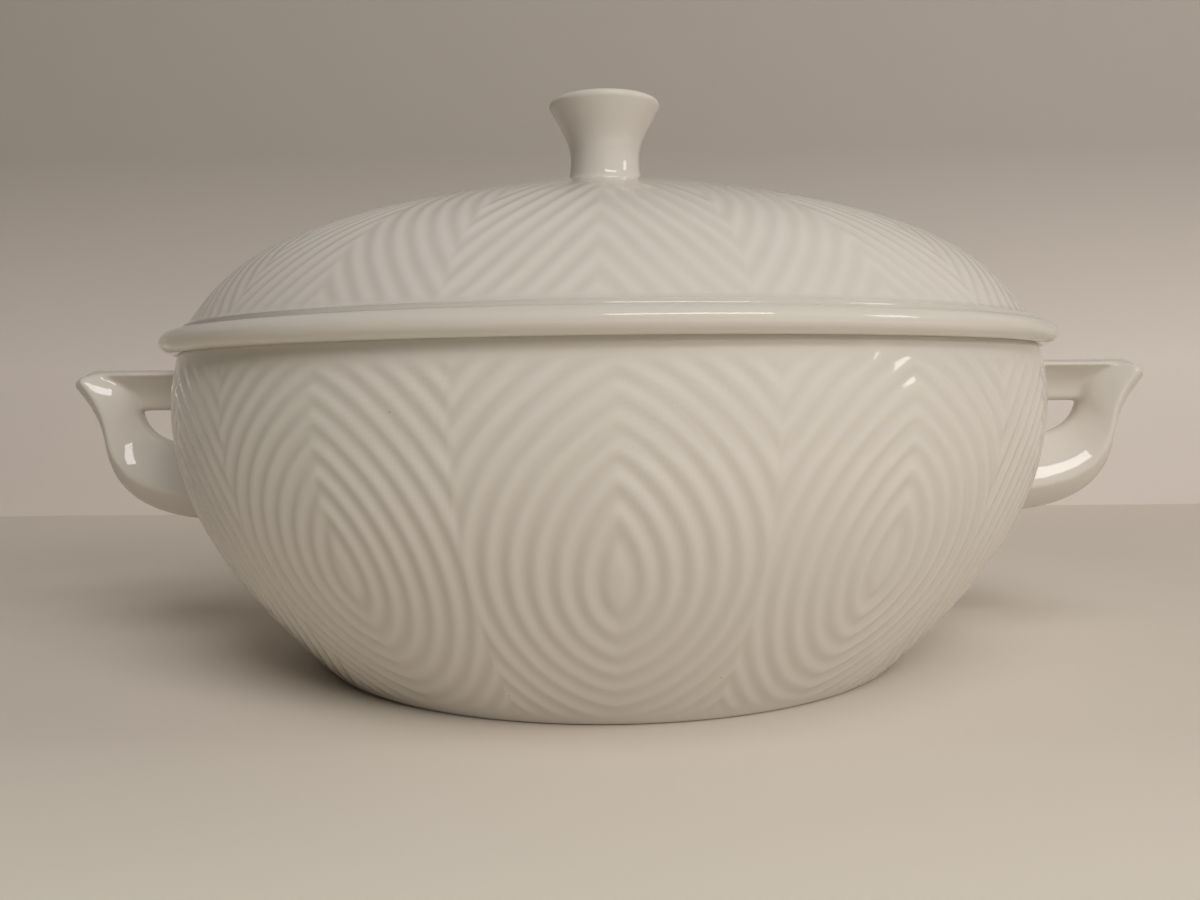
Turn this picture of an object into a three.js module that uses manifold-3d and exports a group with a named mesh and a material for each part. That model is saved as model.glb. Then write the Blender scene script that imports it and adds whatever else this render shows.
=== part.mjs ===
// Soup tureen: a round porcelain bowl on a foot ring, two loop handles with a thumb rest,
// and a domed lid that sits in the bowl's mouth and carries a flared knob.
// Millimetres, +Z up. The origin is on the table under the centre, and the handles lie along X.

import * as THREE from 'three';
import { mergeVertices } from 'three/addons/utils/BufferGeometryUtils.js';
import Module from 'manifold-3d';

const wasm = await Module();
wasm.setup();

// Fits

const SEAT_GAP = 0.3; // lid on the bowl's rim
const LUTE_GAP = 0.3; // handles on the bowl and knob on the lid

// Bowl: heights are from the table

const BOWL = {
  height: 86.2,
  wall: 5,
  floor: 5.5,
  floorFillet: 16, // inside corner between the floor and the wall
  rimRadius: 120.1,
  bellySwell: 1.6, // belly beyond the rim
  bellyHeight: 70.3,
  bellyPull: 31.5, // stretch under the belly where the wall stands up
  footRadius: 84,
  footWidth: 6,
  footDraft: 1.5,
  footRecess: 3, // hollow under the floor
  flareAngle: 47.9, // degrees above the table where the wall leaves the foot
  flarePull: 20.9, // stretch that keeps to that angle
};

// Handle: reaches are beyond the belly, and drops are below the bowl's rim

const HANDLE = {
  topDrop: 3.5, // thumb rest
  lipReach: 37.4,
  lipDepth: 8.2,
  armDepth: 12.3, // thumb rest down to the finger hole
  armWidth: 17,
  armRidge: 2.2, // widest part of the arm under the thumb rest
  holeHeight: 11.4, // finger hole at the wall
  holeReach: 19.2,
  rootDepth: 22.2, // limb at the wall
  rootWidth: 23,
  limbWidth: 17.5,
  neckWidth: 14.5, // limb where it runs out into the lip
  waistReach: 29.4, // outside of the limb where it turns upright
  waistDrop: 26.2,
  sink: 10, // limb and arm start inside the wall's outline and are cut to it
  roundness: 1.6, // limb sections: 1 is a diamond and 2 an ellipse
};

// Bends of the limb's edges, as shares of the sizes above

const BEND = {
  holeFloor: 0.5, // level stretch of the hole's floor, of its reach
  holeCornerReach: 0.92,
  holeCornerRise: 0.3, // of the hole's height
  heelReach: 0.66, // of the waist's reach
  heelRise: 0.02, // of the root's depth
  calfReach: 0.94, // of the waist's reach
  calfFall: 0.6, // of the way from the waist down to the heel
  neckReach: 1.05, // of the waist's reach
  lipTuck: 0.125, // of the lip's depth
};

// Lid: heights are from its seat on the rim

const LID = {
  wall: 4.6,
  overhang: 4.3, // bead beyond the bowl's rim
  beadHeight: 4.7,
  beadDrop: 0.9, // bead hangs over the bowl's rim
  beadDepth: 3.2,
  mouldingHeight: 2.9, // step between the bead and the dome
  domeInset: 3.6, // dome's foot inside the bowl's rim
  domeRise: 42.1,
  shoulderAngle: 57, // degrees above the seat where the dome leaves the rim
  shoulderPull: 22.5,
  crownAngle: 10.9, // fall of the crown away from the knob
  crownPull: 78.2,
  padRadius: 13, // flat under the knob
  skirtDepth: 9, // ring that hangs into the bowl's mouth
  skirtClearance: 1.2,
};

// Knob: heights are from its foot

const KNOB = {
  height: 23.7,
  footRadius: 11.1,
  neckRadius: 10.2,
  neckHeight: 6.9,
  footPull: 2.3, // height where the foot's flare meets the neck's line
  neckPull: 5.3, // straight stretch above the neck
  lipRadius: 16.4,
  lipAngle: 62, // degrees above the level where the flare meets the lip
  lipPull: 7.3,
  edge: 1.2, // rounding of the top
};

// Radii that the rim sets for the pieces around it

const BELLY_RADIUS = BOWL.rimRadius + BOWL.bellySwell;
const NOSE_RADIUS = BOWL.rimRadius + LID.overhang;
const DOME_RADIUS = BOWL.rimRadius - LID.domeInset;

// Facets: the turned pieces share one count, so that what is cut to them fits

const TURNED_SIDES = 60;
const KNOB_SIDES = 30;
const RING_SIDES = 16;
const STEPS = {
  wall: 11,
  shoulder: 3,
  rim: 6,
  fillet: 4,
  limb: 9,
  neck: 5,
  bead: 7,
  moulding: 3,
  dome: 13,
  skirt: 4,
  knobFoot: 4,
  knobFlare: 7,
  knobEdge: 3,
};
const LIP_DEGREES = [0, 25, 50, 72, 85]; // sections round the lip's nose

const GLAZE = { color: 0xf1ece0, roughness: 0.12, metalness: 0 };

// Curves and solids

const point = (radius, height) => new THREE.Vector2(radius, height);

const polar = (length, degrees) => {
  const angle = THREE.MathUtils.degToRad(degrees);
  return point(length * Math.cos(angle), length * Math.sin(angle));
};

// Profile moved sideways, to the left of the way it runs.
function inset(profile, distance) {
  return profile.map((place, i) => {
    const before = profile[Math.max(i - 1, 0)];
    const after = profile[Math.min(i + 1, profile.length - 1)];
    const along = after.clone().sub(before).normalize();
    return point(place.x - along.y * distance, place.y + along.x * distance);
  });
}

function arc(centre, radiusX, radiusY, startDegrees, endDegrees, steps) {
  const start = THREE.MathUtils.degToRad(startDegrees);
  const end = THREE.MathUtils.degToRad(endDegrees);
  const curve = new THREE.EllipseCurve(centre.x, centre.y, radiusX, radiusY, start, end, end < start);
  return curve.getPoints(steps);
}

// Solid of revolution about Z, from a profile that starts and ends on the axis.
function turned(profile, sides) {
  return new THREE.LatheGeometry(profile, sides).rotateX(Math.PI / 2);
}

// Closed skin through rings of equal count, with a fan over each end.
function loft(rings) {
  const count = rings[0].length;
  const places = rings.flat();
  const triangles = [];
  for (let ring = 0; ring < rings.length - 1; ring += 1) {
    for (let i = 0; i < count; i += 1) {
      const a = ring * count + i;
      const b = ring * count + ((i + 1) % count);
      triangles.push(a, b, a + count, b, b + count, a + count);
    }
  }
  for (const [ring, first] of [[rings[0], 0], [rings.at(-1), places.length - count]]) {
    const middle = ring.reduce((sum, place) => sum.add(place), new THREE.Vector3()).divideScalar(count);
    const hub = places.push(middle) - 1;
    for (let i = 0; i < count; i += 1) {
      const pair = [first + i, first + ((i + 1) % count)];
      triangles.push(hub, ...(first === 0 ? pair.reverse() : pair));
    }
  }
  return new THREE.BufferGeometry().setFromPoints(places).setIndex(triangles);
}

function toManifold(geometry) {
  const bare = geometry.clone();
  bare.deleteAttribute('normal');
  bare.deleteAttribute('uv');
  const merged = mergeVertices(bare, 1e-4);
  const vertProperties = new Float32Array(merged.attributes.position.array);
  const corners = [...merged.index.array];
  const triVerts = [];
  for (let i = 0; i < corners.length; i += 3) {
    const [a, b, c] = corners.slice(i, i + 3);
    if (a !== b && b !== c && c !== a) triVerts.push(a, b, c);
  }
  const mesh = new wasm.Mesh({ numProp: 3, vertProperties, triVerts: new Uint32Array(triVerts) });
  return new wasm.Manifold(mesh);
}

function fromManifold(solid) {
  const { vertProperties, triVerts } = solid.getMesh();
  const geometry = new THREE.BufferGeometry();
  geometry.setAttribute('position', new THREE.BufferAttribute(vertProperties, 3));
  geometry.setIndex(new THREE.BufferAttribute(triVerts, 1));
  geometry.computeVertexNormals();
  return geometry;
}

function glazed(name, geometry) {
  const mesh = new THREE.Mesh(geometry, new THREE.MeshStandardMaterial(GLAZE));
  mesh.name = name;
  return mesh;
}

// Bowl

// Outside of the wall, from the foot up to where the rim starts to round over.
function bowlOutside() {
  const foot = point(BOWL.footRadius, 0);
  const belly = point(BELLY_RADIUS, BOWL.bellyHeight);
  const shoulder = point(BOWL.rimRadius, BOWL.height - BOWL.wall / 2);
  const flare = polar(BOWL.flarePull, BOWL.flareAngle).add(foot);
  const upright = point(belly.x, belly.y - BOWL.bellyPull);
  const lower = new THREE.CubicBezierCurve(foot, flare, upright, belly);
  const upper = new THREE.QuadraticBezierCurve(belly, point(belly.x, (belly.y + shoulder.y) / 2), shoulder);
  return [...lower.getSpacedPoints(STEPS.wall), ...upper.getPoints(STEPS.shoulder).slice(1)];
}

// Inside of the wall, from under the rim down to the flat of the floor.
function bowlInside() {
  const floorTop = BOWL.footRecess + BOWL.floor;
  const wall = inset(bowlOutside(), BOWL.wall);
  const above = wall.findIndex((place) => place.y > floorTop);
  const [low, high] = [wall[above - 1], wall[above]];
  const corner = low.clone().lerp(high, (floorTop - low.y) / (high.y - low.y));
  const upper = wall.slice(above).filter((place) => place.distanceTo(corner) > BOWL.floorFillet);
  const flat = point(corner.x - BOWL.floorFillet, floorTop);
  const fillet = new THREE.QuadraticBezierCurve(upper[0], corner, flat);
  return [...upper.reverse(), ...fillet.getPoints(STEPS.fillet).slice(1)];
}

function bowlGeometry() {
  const rimCentre = point(BOWL.rimRadius - BOWL.wall / 2, BOWL.height - BOWL.wall / 2);
  const rim = arc(rimCentre, BOWL.wall / 2, BOWL.wall / 2, 0, 180, STEPS.rim);
  const footInside = BOWL.footRadius - BOWL.footWidth;
  return turned([
    point(0, BOWL.footRecess),
    point(footInside - BOWL.footDraft, BOWL.footRecess),
    point(footInside, 0),
    ...bowlOutside(),
    ...rim.slice(1),
    ...bowlInside(),
    point(0, BOWL.footRecess + BOWL.floor),
  ], TURNED_SIDES);
}

// The bowl as one solid block, swollen by the gap that the handles keep to it.
function bowlBlock() {
  const outside = inset(bowlOutside(), -LUTE_GAP);
  return turned([
    point(0, outside[0].y),
    ...outside,
    point(0, outside.at(-1).y),
  ], TURNED_SIDES);
}

// Handle: a limb swept up from the wall and an arm that carries the thumb rest and its lip

const beside = (reach, drop) => point(BELLY_RADIUS + reach, BOWL.height - drop);

// Ring across the handle between two edge points, with its own width.
function limbRing(inner, outer, width) {
  const middle = inner.clone().add(outer).multiplyScalar(0.5);
  const half = outer.clone().sub(middle);
  const rounded = (value) => Math.sign(value) * Math.abs(value) ** (2 / HANDLE.roundness);
  return Array.from({ length: RING_SIDES }, (_, i) => {
    const angle = (2 * Math.PI * i) / RING_SIDES;
    const edge = rounded(Math.cos(angle));
    const side = rounded(Math.sin(angle));
    return new THREE.Vector3(middle.x + half.x * edge, side * width / 2, middle.y + half.y * edge);
  });
}

// Ring square to X: a nearly level top over a deep rounded underside.
function armRing(x, top, bottom, width) {
  const ridge = top - Math.min(HANDLE.armRidge, (top - bottom) / 2);
  return Array.from({ length: RING_SIDES }, (_, i) => {
    const angle = (2 * Math.PI * i) / RING_SIDES;
    const fall = Math.cos(angle) > 0 ? ridge - bottom : top - ridge;
    return new THREE.Vector3(x, Math.sin(angle) * width / 2, ridge - fall * Math.cos(angle));
  });
}

function limbGeometry() {
  const holeFloor = HANDLE.topDrop + HANDLE.armDepth + HANDLE.holeHeight;
  const heel = holeFloor + HANDLE.rootDepth;
  const waist = beside(HANDLE.waistReach, HANDLE.waistDrop);
  const armFloor = beside(HANDLE.holeReach, HANDLE.topDrop + HANDLE.armDepth);
  const lipMiddle = HANDLE.topDrop + HANDLE.lipDepth / 2;
  const innerEnd = beside(HANDLE.lipReach - HANDLE.lipDepth, HANDLE.topDrop + HANDLE.armRidge);
  const outerEnd = beside(HANDLE.lipReach - HANDLE.lipDepth * BEND.lipTuck, HANDLE.topDrop + HANDLE.lipDepth);

  const innerLow = new THREE.CubicBezierCurve(
    beside(-HANDLE.sink, holeFloor),
    beside(HANDLE.holeReach * BEND.holeFloor, holeFloor),
    beside(HANDLE.holeReach * BEND.holeCornerReach, holeFloor - HANDLE.holeHeight * BEND.holeCornerRise),
    armFloor,
  );
  const outerLow = new THREE.CubicBezierCurve(
    beside(-HANDLE.sink, heel),
    beside(HANDLE.waistReach * BEND.heelReach, heel - HANDLE.rootDepth * BEND.heelRise),
    beside(HANDLE.waistReach * BEND.calfReach, THREE.MathUtils.lerp(HANDLE.waistDrop, heel, BEND.calfFall)),
    waist,
  );
  const innerHigh = new THREE.QuadraticBezierCurve(armFloor, beside(HANDLE.holeReach, lipMiddle), innerEnd);
  const outerHigh = new THREE.QuadraticBezierCurve(
    waist,
    beside(HANDLE.waistReach * BEND.neckReach, (HANDLE.waistDrop + lipMiddle) / 2),
    outerEnd,
  );

  const rings = [];
  for (const [inner, outer, steps, fromWidth, toWidth] of [
    [innerLow, outerLow, STEPS.limb, HANDLE.rootWidth, HANDLE.limbWidth],
    [innerHigh, outerHigh, STEPS.neck, HANDLE.limbWidth, HANDLE.neckWidth],
  ]) {
    for (let i = rings.length ? 1 : 0; i <= steps; i += 1) {
      const t = i / steps;
      const width = THREE.MathUtils.lerp(fromWidth, toWidth, t);
      rings.push(limbRing(inner.getPoint(t), outer.getPoint(t), width));
    }
  }
  return loft(rings);
}

function armGeometry() {
  const top = BOWL.height - HANDLE.topDrop;
  const underside = top - HANDLE.armDepth;
  const lipRadius = HANDLE.lipDepth / 2;
  const lipMiddle = top - lipRadius;
  const holeEnd = BELLY_RADIUS + HANDLE.holeReach;
  const lipStart = BELLY_RADIUS + HANDLE.lipReach - lipRadius;
  const lipUnderside = top - HANDLE.lipDepth;
  const rings = [
    armRing(BELLY_RADIUS - HANDLE.sink, top, underside, HANDLE.armWidth),
    armRing(holeEnd, top, underside, HANDLE.armWidth),
    armRing((holeEnd + lipStart) / 2, top, (underside + lipUnderside) / 2, HANDLE.armWidth),
  ];
  for (const degrees of LIP_DEGREES) {
    const round = polar(lipRadius, degrees);
    const width = HANDLE.armWidth - 2 * (lipRadius - round.x);
    rings.push(armRing(lipStart + round.y, lipMiddle + round.x, lipMiddle - round.x, width));
  }
  return loft(rings);
}

function handleGeometry() {
  const limb = toManifold(limbGeometry());
  const arm = toManifold(armGeometry());
  return fromManifold(limb.add(arm).subtract(toManifold(bowlBlock())));
}

// Lid

function lidGeometry() {
  const beadMiddle = point(NOSE_RADIUS - LID.beadDepth, (LID.beadHeight - LID.beadDrop) / 2);
  const bead = arc(beadMiddle, LID.beadDepth, (LID.beadHeight + LID.beadDrop) / 2, -90, 90, STEPS.bead);

  const domeFoot = point(DOME_RADIUS, LID.beadHeight + LID.mouldingHeight);
  const pad = point(LID.padRadius, domeFoot.y + LID.domeRise);
  const shoulder = polar(LID.shoulderPull, 180 - LID.shoulderAngle).add(domeFoot);
  const crown = polar(LID.crownPull, -LID.crownAngle).add(pad);
  const dome = new THREE.CubicBezierCurve(domeFoot, shoulder, crown, pad).getSpacedPoints(STEPS.dome);
  const moulding = new THREE.QuadraticBezierCurve(
    bead.at(-1),
    point((bead.at(-1).x + domeFoot.x) / 2, LID.beadHeight),
    domeFoot,
  ).getPoints(STEPS.moulding).slice(1, -1);

  const skirtRadius = BOWL.rimRadius - BOWL.wall - LID.skirtClearance;
  const skirtMiddle = point(skirtRadius - LID.wall / 2, LID.wall / 2 - LID.skirtDepth);
  const skirtFoot = arc(skirtMiddle, LID.wall / 2, LID.wall / 2, -180, 0, STEPS.skirt);
  const inside = inset(dome, LID.wall).filter((place) => place.x < skirtRadius - LID.wall).reverse();

  return turned([
    point(0, pad.y - LID.wall),
    ...inside,
    ...skirtFoot,
    point(skirtRadius, 0),
    point(BOWL.rimRadius, 0),
    ...bead,
    ...moulding,
    ...dome,
    point(0, pad.y),
  ], TURNED_SIDES);
}

// Knob

function knobGeometry() {
  const foot = point(KNOB.footRadius, 0);
  const neck = point(KNOB.neckRadius, KNOB.neckHeight);
  const lip = point(KNOB.lipRadius, KNOB.height - KNOB.edge);
  const lower = new THREE.QuadraticBezierCurve(foot, point(neck.x, KNOB.footPull), neck);
  const flare = polar(KNOB.lipPull, KNOB.lipAngle + 180).add(lip);
  const upper = new THREE.CubicBezierCurve(neck, point(neck.x, neck.y + KNOB.neckPull), flare, lip);
  const edge = arc(point(lip.x - KNOB.edge, lip.y), KNOB.edge, KNOB.edge, 0, 90, STEPS.knobEdge);
  return turned([
    point(0, 0),
    ...lower.getPoints(STEPS.knobFoot),
    ...upper.getPoints(STEPS.knobFlare).slice(1),
    ...edge.slice(1),
    point(0, KNOB.height),
  ], KNOB_SIDES);
}

// Assembly

const handle = handleGeometry();
const handleLeft = glazed('handle_left', handle.clone());
handleLeft.rotation.z = Math.PI;
const bowl = new THREE.Group();
bowl.add(glazed('bowl', bowlGeometry()), glazed('handle_right', handle), handleLeft);

const knob = glazed('knob', knobGeometry());
knob.position.z = LID.beadHeight + LID.mouldingHeight + LID.domeRise + LUTE_GAP;
const lid = new THREE.Group();
lid.position.z = BOWL.height + SEAT_GAP;
lid.add(glazed('lid', lidGeometry()), knob);

const tureen = new THREE.Group();
tureen.name = 'tureen';
tureen.add(bowl, lid);

export default tureen;
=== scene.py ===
"""Looks of a white porcelain soup tureen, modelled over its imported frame.

The bowl and the lid are turned pieces with a low carved relief, the knob is turned, and the two loop
handles are lofted and blended into the bowl's wall. Metres, +Z up, the handles along X.
"""

import logging
import math
from collections.abc import Callable
from dataclasses import dataclass, field
from enum import Enum
from functools import cached_property

import bmesh
import bpy
from mathutils import Matrix, Vector


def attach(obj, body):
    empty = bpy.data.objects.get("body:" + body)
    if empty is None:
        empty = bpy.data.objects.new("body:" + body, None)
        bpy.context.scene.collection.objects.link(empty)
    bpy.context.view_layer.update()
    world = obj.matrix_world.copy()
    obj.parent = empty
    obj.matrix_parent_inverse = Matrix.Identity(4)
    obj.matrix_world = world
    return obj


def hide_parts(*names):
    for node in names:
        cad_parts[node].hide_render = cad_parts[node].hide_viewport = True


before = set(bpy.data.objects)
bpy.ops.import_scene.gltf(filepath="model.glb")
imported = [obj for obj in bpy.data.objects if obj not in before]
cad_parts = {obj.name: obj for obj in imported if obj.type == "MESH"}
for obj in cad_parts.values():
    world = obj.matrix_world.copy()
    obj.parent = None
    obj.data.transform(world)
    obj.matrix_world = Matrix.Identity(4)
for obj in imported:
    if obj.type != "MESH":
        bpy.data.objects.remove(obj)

LOG = logging.getLogger("tureen")
MM = 0.001
FULL_TURN = 2 * math.pi
GLAZE_SLOT = "white_glaze"
RELIEF_LAYER = "relief"
RING_LAYER = "ring"
MERGE_DISTANCE = 0.001 * MM
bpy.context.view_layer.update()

Pair = tuple[float, float]
Place = tuple[float, float, float]
Colour = tuple[float, float, float, float]
Tint = Colour | bpy.types.NodeSocket
Shape = Callable[[float, float], Vector]


class Side(Enum):
    """Side of the bowl that a handle sits on."""

    RIGHT = "handle_right"
    LEFT = "handle_left"

    @property
    def turn(self) -> float:
        """Angle about Z from the right-hand place."""
        return 0.0 if self is Side.RIGHT else math.pi


class Coat(Enum):
    """Finish of a face, by its place in the piece's list of materials."""

    GLAZED = 0
    BARE = 1


class Axis(Enum):
    """Axis that a paint's colour changes along, by the name of its socket."""

    DEPTH = "Y"
    HEIGHT = "Z"


# Curves in the plane of radius and height


def mix(first: float, second: float, share: float) -> float:
    """Value at a share of the way from one to another."""
    return first + (second - first) * share


def polar(length: float, degrees: float) -> Vector:
    """Step of a length at an angle above the level."""
    return Vector((math.cos(math.radians(degrees)), math.sin(math.radians(degrees)))) * length


def bezier(corners: list[Vector], steps: int) -> list[Vector]:
    """Points along a Bezier curve.

    Args:
        corners: Control points, from the start to the end.
        steps: Stretches that the curve is cut into.

    Returns:
        The points, both ends included.
    """
    points = []
    for i in range(steps + 1):
        row = list(corners)
        while len(row) > 1:
            row = [a.lerp(b, i / steps) for a, b in zip(row, row[1:])]
        points.append(row[0])
    return points


def arc(centre: Vector, radii: Pair, start: float, end: float, steps: int) -> list[Vector]:
    """Points along an arc of an ellipse.

    Args:
        centre: Middle of the ellipse.
        radii: Half its width and half its height.
        start: First angle, in degrees.
        end: Last angle, in degrees.
        steps: Stretches that the arc is cut into.

    Returns:
        The points, both ends included.
    """
    points = []
    for i in range(steps + 1):
        angle = math.radians(mix(start, end, i / steps))
        points.append(centre + Vector((radii[0] * math.cos(angle), radii[1] * math.sin(angle))))
    return points


def spaced(points: list[Vector], pitch: float) -> list[Vector]:
    """The same line, cut again into even stretches.

    Args:
        points: Points along the line.
        pitch: Length that a stretch should have.

    Returns:
        New points, both ends included.
    """
    lengths = [(b - a).length for a, b in zip(points, points[1:])]
    count = max(1, round(sum(lengths) / pitch))
    step = sum(lengths) / count
    made = [points[0]]
    travelled = 0.0
    for a, b, length in zip(points, points[1:], lengths):
        while len(made) < count and travelled + length >= step * len(made):
            made.append(a.lerp(b, (step * len(made) - travelled) / length))
        travelled += length
    return made + [points[-1]]


def outward(points: list[Vector], i: int) -> Vector:
    """Unit step to the right of a line's run at one of its points."""
    run = points[min(i + 1, len(points) - 1)] - points[max(i - 1, 0)]
    return Vector((run.y, -run.x)).normalized()


def inset(points: list[Vector], distance: float) -> list[Vector]:
    """Line moved sideways, to the left of its run."""
    return [place - outward(points, i) * distance for i, place in enumerate(points)]


def ramp(value: float, low: float, high: float) -> float:
    """Smooth rise from 0 at low to 1 at high; low may be the larger."""
    share = min(max((value - low) / (high - low), 0.0), 1.0)
    return share * share * (3 - 2 * share)


# Carved relief


@dataclass(frozen=True)
class Relief:
    """Low ribs that repeat in equal cells round a turned wall, mirrored about each cell's axis."""

    cells: int = 12
    aim: float = 0.7  # degrees about Z to a cell's axis
    depth: float = 0.24 * MM  # from the mean wall up to a rib
    easing: float = 0.35  # degrees that round off the turn at an axis

    def fold(self, angle: float) -> float:
        """Folds a cell's two sides together, eased a little where they meet.

        Args:
            angle: Angle about Z.

        Returns:
            Degrees from the nearest cell's axis.
        """
        cell = 360 / self.cells
        away = (math.degrees(angle) - self.aim + cell / 2) % cell - cell / 2
        return math.hypot(away, self.easing)

    def phase(self, fold: float, along: float) -> float:
        """Ribs counted from the first one, at a place of the wall."""
        raise NotImplementedError

    def strength(self, along: float) -> float:
        """Share of the full depth at a distance along the wall."""
        raise NotImplementedError

    def height(self, angle: float, along: float) -> float:
        """Rise of the wall at a place, from -1 in a groove to 1 on a rib."""
        return self.strength(along) * math.cos(FULL_TURN * self.phase(self.fold(angle), along))


@dataclass(frozen=True)
class NestedOvals(Relief):
    """Ovals inside one another, pointed above and round below, one set to a cell, on the bowl's wall."""

    wall_radius: float = 116 * MM
    focus_above: float = 27.5 * MM  # arcs' centres beyond the axis, which points the ovals
    focus_below: float = 5.6 * MM
    flatten_above: float = 1.125
    flatten_below: float = 0.811
    middle: float = 47.04 * MM  # widest place of the ovals, up the wall from the foot
    pitch: float = 4.894 * MM
    lead: float = 0.268  # half width of the innermost oval, in ribs
    foot_plain: Pair = (2.5 * MM, 6.5 * MM)
    rim_plain: Pair = (94.6 * MM, 90.0 * MM)

    def phase(self, fold: float, along: float) -> float:
        """Counts ribs outwards from the edge of the innermost oval, which is flat.

        Args:
            fold: Degrees from the cell's axis.
            along: Distance up the wall from the foot.

        Returns:
            Ribs passed, with a share of the next.
        """
        up = along - self.middle
        focus = self.focus_above if up > 0 else self.focus_below
        flatten = self.flatten_above if up > 0 else self.flatten_below
        across = math.radians(fold) * self.wall_radius + focus
        return max((math.hypot(across, flatten * up) - focus) / self.pitch - self.lead, 0.0)

    def strength(self, along: float) -> float:
        """Full depth over the belly, plain at the foot and under the rim."""
        return ramp(along, *self.foot_plain) * ramp(along, *self.rim_plain)


@dataclass(frozen=True)
class FannedRibs(Relief):
    """Ribs that rise from the lid's edge and lean towards each cell's axis."""

    aim: float = -0.93
    depth: float = 0.135 * MM
    per_degree: float = 0.3423  # ribs crossed in a degree round the lid
    climb: float = 0.13815 / MM  # ribs crossed going up the dome, at its foot
    slowing: float = 0.0010044 / MM ** 2
    start: float = 0.57  # share of a rib on the axis at the foot
    straight_from: float = 45 * MM
    edge_plain: Pair = (0.2 * MM, 1.4 * MM)
    crown_plain: Pair = (66 * MM, 32 * MM)

    def phase(self, fold: float, along: float) -> float:
        """Counts ribs from the cell's axis and up the dome.

        Args:
            fold: Degrees from the cell's axis.
            along: Distance up the dome from its foot.

        Returns:
            Ribs passed, with a share of the next.
        """
        bent = min(along, self.straight_from)
        slope = self.climb - 2 * self.slowing * self.straight_from
        rise = self.climb * bent - self.slowing * bent ** 2 + slope * (along - bent)
        return self.per_degree * fold + rise + self.start

    def strength(self, along: float) -> float:
        """Full depth over the dome, plain round the knob."""
        return ramp(along, *self.edge_plain) * ramp(along, *self.crown_plain)


# Turned pieces


@dataclass
class Station:
    """One ring of a turned piece."""

    place: Vector
    coat: Coat = Coat.GLAZED
    along: float | None = None
    facing: Vector = field(default_factory=lambda: Vector((0.0, 0.0)))


def plain(points: list[Vector], coat: Coat = Coat.GLAZED) -> list[Station]:
    """Smooth rings of one finish; the coat covers the faces up to the next ring."""
    return [Station(place, coat) for place in points]


def carved(points: list[Vector]) -> list[Station]:
    """Makes rings that carry relief.

    Args:
        points: Points along the wall, whose distances count from the first.

    Returns:
        One ring for each point.
    """
    rings = []
    along = 0.0
    for i, place in enumerate(points):
        along += (place - points[i - 1]).length if i else 0.0
        rings.append(Station(place, Coat.GLAZED, along, outward(points, i)))
    return rings


@dataclass
class Turning:
    """A profile turned about Z, with finer columns where it is carved."""

    stations: list[Station]
    columns: int = 216
    cuts: int = 3
    relief: Relief | None = None

    def build(self) -> bmesh.types.BMesh:
        """Spins the profile, carves it and sorts its faces by finish.

        Returns:
            A closed mesh whose vertices carry the carved height in the relief layer.
        """
        mesh = bmesh.new()
        ring = mesh.verts.layers.float.new(RING_LAYER)
        start = math.radians(self.relief.aim) if self.relief else 0.0
        chain = []
        for i, station in enumerate(self.stations):
            radius, height = station.place
            vert = mesh.verts.new((radius * math.cos(start), radius * math.sin(start), height))
            vert[ring] = i
            chain.append(vert)
        edges = [mesh.edges.new(pair) for pair in zip(chain, chain[1:])]
        bmesh.ops.spin(
            mesh, geom=chain + edges, cent=(0, 0, 0), axis=(0, 0, 1), dvec=(0, 0, 0),
            angle=FULL_TURN, steps=self.columns, use_merge=True, use_duplicate=False,
        )
        bmesh.ops.remove_doubles(mesh, verts=mesh.verts, dist=MERGE_DISTANCE)
        for face in mesh.faces:
            first = min(round(vert[ring]) for vert in face.verts)
            face.material_index = self.stations[first].coat.value
            face.smooth = True
        if self.relief:
            self.carve(mesh, ring)
        mesh.verts.layers.float.remove(mesh.verts.layers.float[RING_LAYER])
        bmesh.ops.recalc_face_normals(mesh, faces=mesh.faces)
        return mesh

    def carve(self, mesh: bmesh.types.BMesh, ring: bmesh.types.BMLayerItem) -> None:
        """Cuts the carved rings finer and raises their vertices by the relief.

        Args:
            mesh: The turned mesh.
            ring: Layer with each vertex's place in the profile.
        """
        level = [
            edge for edge in mesh.edges
            if edge.verts[0][ring] == edge.verts[1][ring]
            and self.stations[round(edge.verts[0][ring])].along is not None
        ]
        bmesh.ops.subdivide_edges(mesh, edges=level, cuts=self.cuts, use_grid_fill=True)
        height = mesh.verts.layers.float.new(RELIEF_LAYER)
        ring = mesh.verts.layers.float[RING_LAYER]
        for vert in mesh.verts:
            station = self.stations[round(vert[ring])]
            if station.along is None:
                continue
            angle = math.atan2(vert.co.y, vert.co.x)
            vert[height] = self.relief.height(angle, station.along)
            place = station.place + station.facing * (vert[height] * self.relief.depth)
            vert.co = (place.x * math.cos(angle), place.x * math.sin(angle), place.y)


# Finishes


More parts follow.
